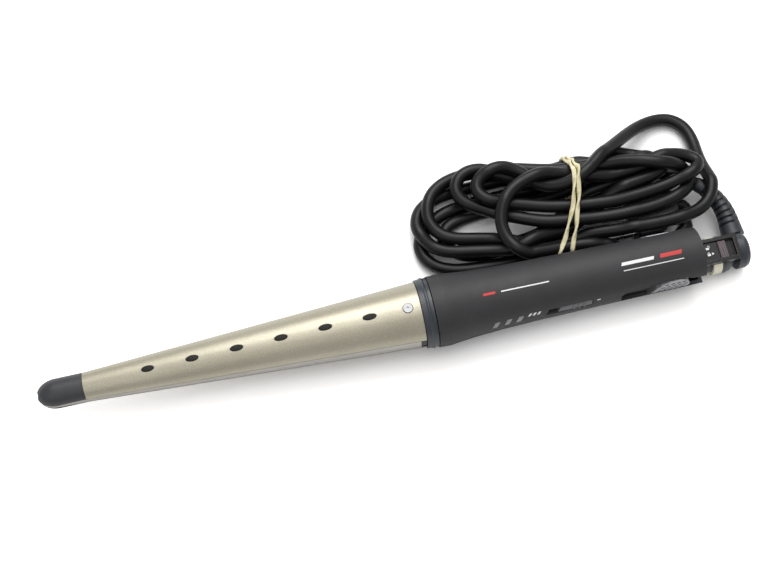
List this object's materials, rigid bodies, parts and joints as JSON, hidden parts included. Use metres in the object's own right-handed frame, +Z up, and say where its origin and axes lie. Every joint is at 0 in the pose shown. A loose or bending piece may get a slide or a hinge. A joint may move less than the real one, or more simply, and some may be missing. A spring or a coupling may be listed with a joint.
{
  "type": "conical hair styler",
  "caption": "Hair styler whose two hinged arms close into one tapered round barrel, with slide switch, tail lock and a swivelling mains lead tied in a hank.",
  "frame": {"origin": "on the surface the tool lies on, under the middle of the closed tool from tip to swivel cap, with the lead left out", "axes": "+X along the tool towards the swivel cap, +Z up, and the hank lies on the +Y side"},
  "size_m": [0.3307, 0.0946, 0.0333],
  "materials": {
    "tip_plastic": "satin heat-resistant moulding",
    "champagne_metal": "fine metallic champagne coating, satin",
    "plate_titanium": "satin grey coating",
    "black_plastic": "heat-resistant moulding, matt",
    "soft_touch": "charcoal soft-touch coating",
    "satin_blue_grey": "satin blue-grey",
    "steel": "plain",
    "heater_ceramic": "white ceramic",
    "board_green": "solder mask",
    "board_parts": "moulded",
    "window_clear": "milky light pipe",
    "slider_grey": "satin",
    "nylon": "natural",
    "pad_silver": "silver-grey lacquer",
    "ivory": "ivory",
    "gloss_black": "gloss",
    "lock_grey": "warm grey",
    "boot_rubber": "satin",
    "cord_rubber": "semi-matt",
    "band_rubber": "cream",
    "plug_black": "fine grain",
    "pin_metal": "nickel plate"
  },
  "bodies": {
    "lower_arm": {"lower_tip_cap": "tip_plastic", "lower_barrel_shell": "champagne_metal", "lower_vent_strip": "black_plastic", "lower_heating_plate": "plate_titanium", "lower_heater": "heater_ceramic", "lower_plate_carrier": "black_plastic", "lower_barrel_screw": "steel", "lower_collar": "satin_blue_grey", "lower_handle_shell": "soft_touch", "lower_inner_cover": "black_plastic", "lower_cover_screws": "steel", "hinge_pin": "steel", "side_pads": "pad_silver", "tail_block": "satin_blue_grey", "ivory_ring": "ivory", "tail_frame": "gloss_black", "lock_icon_plate": "gloss_black", "swivel_retainer": "steel"},
    "upper_arm": {"upper_tip_cap": "tip_plastic", "upper_barrel_shell": "champagne_metal", "upper_vent_strip": "black_plastic", "upper_heating_plate": "plate_titanium", "upper_heater": "heater_ceramic", "upper_plate_carrier": "black_plastic", "upper_barrel_screw": "steel", "upper_collar": "satin_blue_grey", "upper_handle_shell": "soft_touch", "upper_inner_cover": "black_plastic", "upper_cover_screws": "steel", "thermal_fuse": "heater_ceramic", "control_board": "board_green", "board_components": "board_parts", "slide_switch": "board_parts", "led_windows": "window_clear", "leaf_spring": "steel", "hinge_bushes": "nylon"},
    "power_switch": {"power_slider": "slider_grey"},
    "lock": {"lock_slider": "lock_grey"},
    "lead": {"swivel_cap": "satin_blue_grey", "strain_relief": "boot_rubber", "cord_lead": "cord_rubber", "cord_loop": "cord_rubber", "cord_tail": "cord_rubber", "cord_hank": "cord_rubber", "hank_band": "band_rubber", "plug_body": "plug_black", "plug_pins": "pin_metal"}
  },
  "joints": [
    {"name": "arm_hinge", "type": "hinge", "parent": "lower_arm", "child": "upper_arm", "pos_m": [0.127, 0, 0.0182], "axis": [0, 1, 0], "range_deg": [0, 20]},
    {"name": "power_slide", "type": "slide", "parent": "upper_arm", "child": "power_switch", "axis": [1, 0, 0], "range_m": [-0.0055, 0]},
    {"name": "lock_slide", "type": "slide", "parent": "lower_arm", "child": "lock", "axis": [1, 0, 0], "range_m": [0, 0.0036]},
    {"name": "cord_swivel", "type": "hinge", "parent": "lower_arm", "child": "lead", "pos_m": [0.1605, 0, 0.0086], "axis": [1, 0, 0], "range_deg": [-130, 5]}
  ]
}
